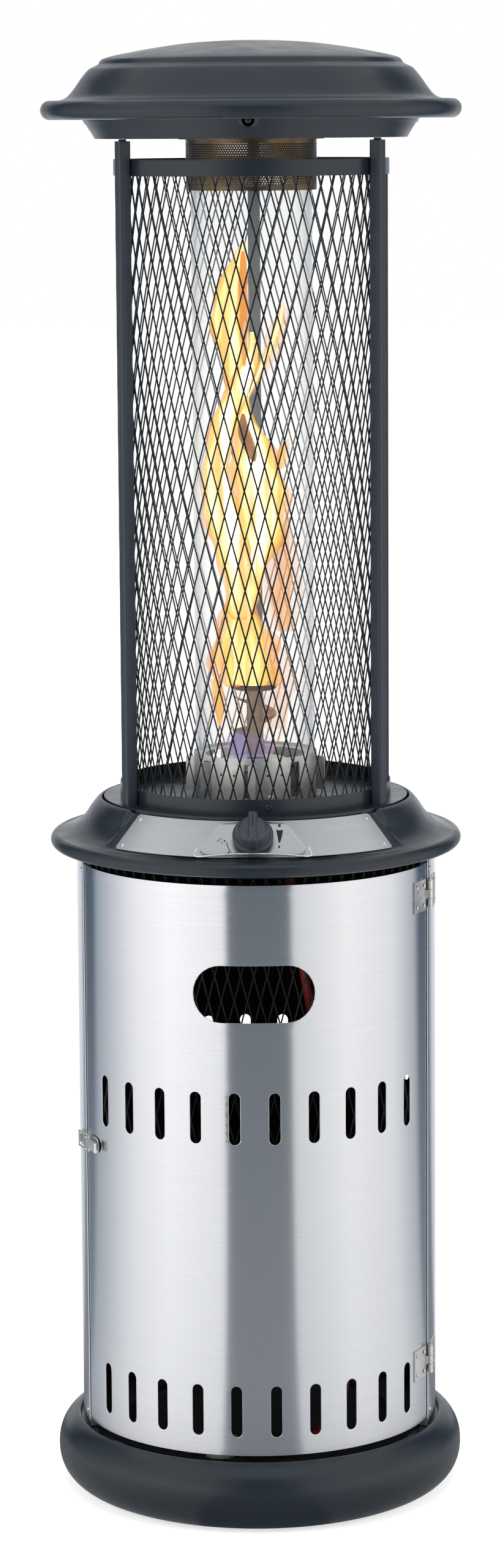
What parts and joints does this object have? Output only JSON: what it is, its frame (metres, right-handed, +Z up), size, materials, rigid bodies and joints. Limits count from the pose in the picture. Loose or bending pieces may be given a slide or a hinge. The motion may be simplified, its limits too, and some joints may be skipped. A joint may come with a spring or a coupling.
{
  "type": "gas patio heater",
  "caption": "Round free-standing gas patio heater: flame in a glass tube inside a mesh guard under a spun hat, sloping console with knob, slotted steel cabinet with hinged door, round base",
  "frame": {"origin": "centre of the round foot, on the floor", "axes": "+Z up along the heater, -Y out of the door and the control panel, +X to the right of a person who faces the door"},
  "size_m": [0.4978, 0.5006, 1.7543],
  "materials": {
    "slate_paint": "satin slate grey powder coat",
    "brushed_steel": "brushed stainless sheet, fine horizontal grain",
    "panel_steel": "satin stainless plate",
    "stainless": "plain stainless, lightly heat stained",
    "heated_steel": "stainless tinted bronze by heat",
    "black_paint": "matt black paint",
    "zinc": "zinc plated steel",
    "brass": "machined brass",
    "copper": "drawn copper tube",
    "glass": "clear borosilicate tube",
    "ceramic": "glazed white ceramic",
    "knob_plastic": "satin moulded slate plastic",
    "black_plastic": "moulded black plastic",
    "hose_rubber": "red gas hose, slightly ribbed"
  },
  "bodies": {
    "root": {"base_skirt": "slate_paint", "floor_plate": "zinc", "rear_shell": "brushed_steel", "top_ring": "black_paint", "console_collar": "slate_paint", "control_panel": "panel_steel", "deck_plate": "slate_paint", "guard_base_ring": "slate_paint", "guard_top_band": "slate_paint", "mesh_guard": "slate_paint", "hat": "slate_paint", "hat_pan": "slate_paint", "flue_sleeve": "heated_steel", "glass_tube": "glass", "glass_seat": "stainless", "burner_cup": "stainless", "burner_head": "stainless", "flame_holder": "heated_steel", "gas_injector": "brass", "injector_cradle": "zinc", "igniter_electrode": "ceramic", "thermocouple": "copper", "tilt_switch": "black_plastic", "gas_pipe": "copper", "hose_elbow": "brass", "gas_hose": "hose_rubber", "hose_nut": "brass", "gas_regulator": "zinc", "latch_keeper": "zinc", "gas_valve": "brass", "valve_bracket": "zinc", "post_left": "slate_paint", "post_right": "slate_paint", "post_rear": "slate_paint", "deck_bracket_left": "zinc", "deck_bracket_right": "zinc", "deck_bracket_rear": "zinc", "hinge_upper_shell_leaf": "zinc", "hinge_upper_pin": "zinc", "hinge_lower_shell_leaf": "zinc", "hinge_lower_pin": "zinc"},
    "door_body": {"door": "brushed_steel", "door_liner": "black_paint", "hinge_upper_door_leaf": "zinc", "hinge_lower_door_leaf": "zinc", "latch_base": "zinc", "latch_pin": "zinc"},
    "lever_body": {"latch_lever": "zinc"},
    "bail_body": {"latch_bail": "zinc"},
    "stem_body": {"valve_stem": "zinc"},
    "knob_body": {"control_knob": "knob_plastic"}
  },
  "joints": [
    {"name": "door_swing", "type": "hinge", "parent": "root", "child": "door_body", "pos_m": [0.21024, -0.07035, 0.435], "axis": [0, 0, 1], "range_deg": [0, 110]},
    {"name": "latch_lift", "type": "hinge", "parent": "door_body", "child": "lever_body", "pos_m": [-0.20475, -0.08569, 0.4423], "axis": [0, 0, -1], "range_deg": [0, 110]},
    {"name": "bail_swing", "type": "hinge", "parent": "lever_body", "child": "bail_body", "pos_m": [-0.20231, -0.09117, 0.4423], "axis": [0, 0, -1], "range_deg": [-132, 0]},
    {"name": "knob_press", "type": "slide", "parent": "root", "child": "stem_body", "axis": [0, 0.757, -0.6534], "range_m": [0, 0.003], "stiffness_N_per_m": 1500, "springref_m": -0.003},
    {"name": "knob_turn", "type": "hinge", "parent": "stem_body", "child": "knob_body", "pos_m": [0, -0.20045, 0.8333], "axis": [0, -0.757, 0.6534], "range_deg": [0, 285]}
  ],
  "couplings": [
    {"joint": "bail_swing", "follows": "latch_lift", "ratio": -1.2}
  ]
}
